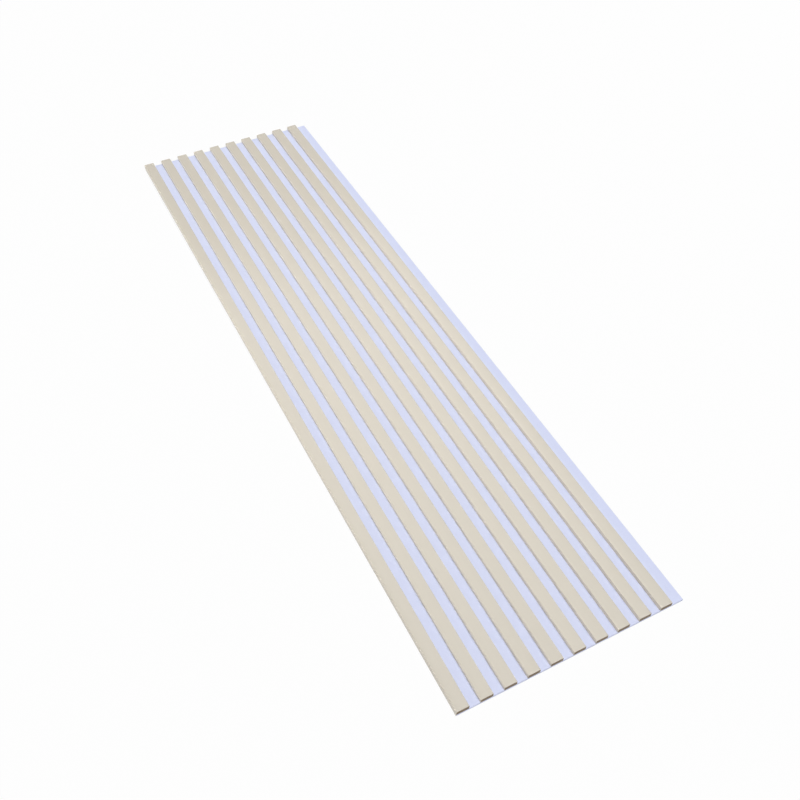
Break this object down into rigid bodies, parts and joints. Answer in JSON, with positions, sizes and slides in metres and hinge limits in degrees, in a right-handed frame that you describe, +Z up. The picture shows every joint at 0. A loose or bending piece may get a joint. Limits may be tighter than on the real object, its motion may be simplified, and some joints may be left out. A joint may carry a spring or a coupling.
{
  "type": "slat wall panel",
  "caption": "Rectangular wall panel of parallel beige wrapped slats fixed on a pale felt backing, with a bare felt tongue along one side to join the next panel.",
  "frame": {"origin": "centre of the panel's footprint at the underside of the felt", "axes": "+X across the slats towards the felt tongue, +Y along the slats, +Z up out of the felt towards the slat faces"},
  "size_m": [0.657, 2.4, 0.021],
  "materials": {
    "felt": "matt needled felt",
    "slat_film": "matt beige film over fibreboard, raw brown board at the sawn ends"
  },
  "bodies": {
    "root": {"felt_backing": "felt", "slat_01": "slat_film", "slat_02": "slat_film", "slat_03": "slat_film", "slat_04": "slat_film", "slat_05": "slat_film", "slat_06": "slat_film", "slat_07": "slat_film", "slat_08": "slat_film", "slat_09": "slat_film", "slat_10": "slat_film"}
  },
  "joints": []
}
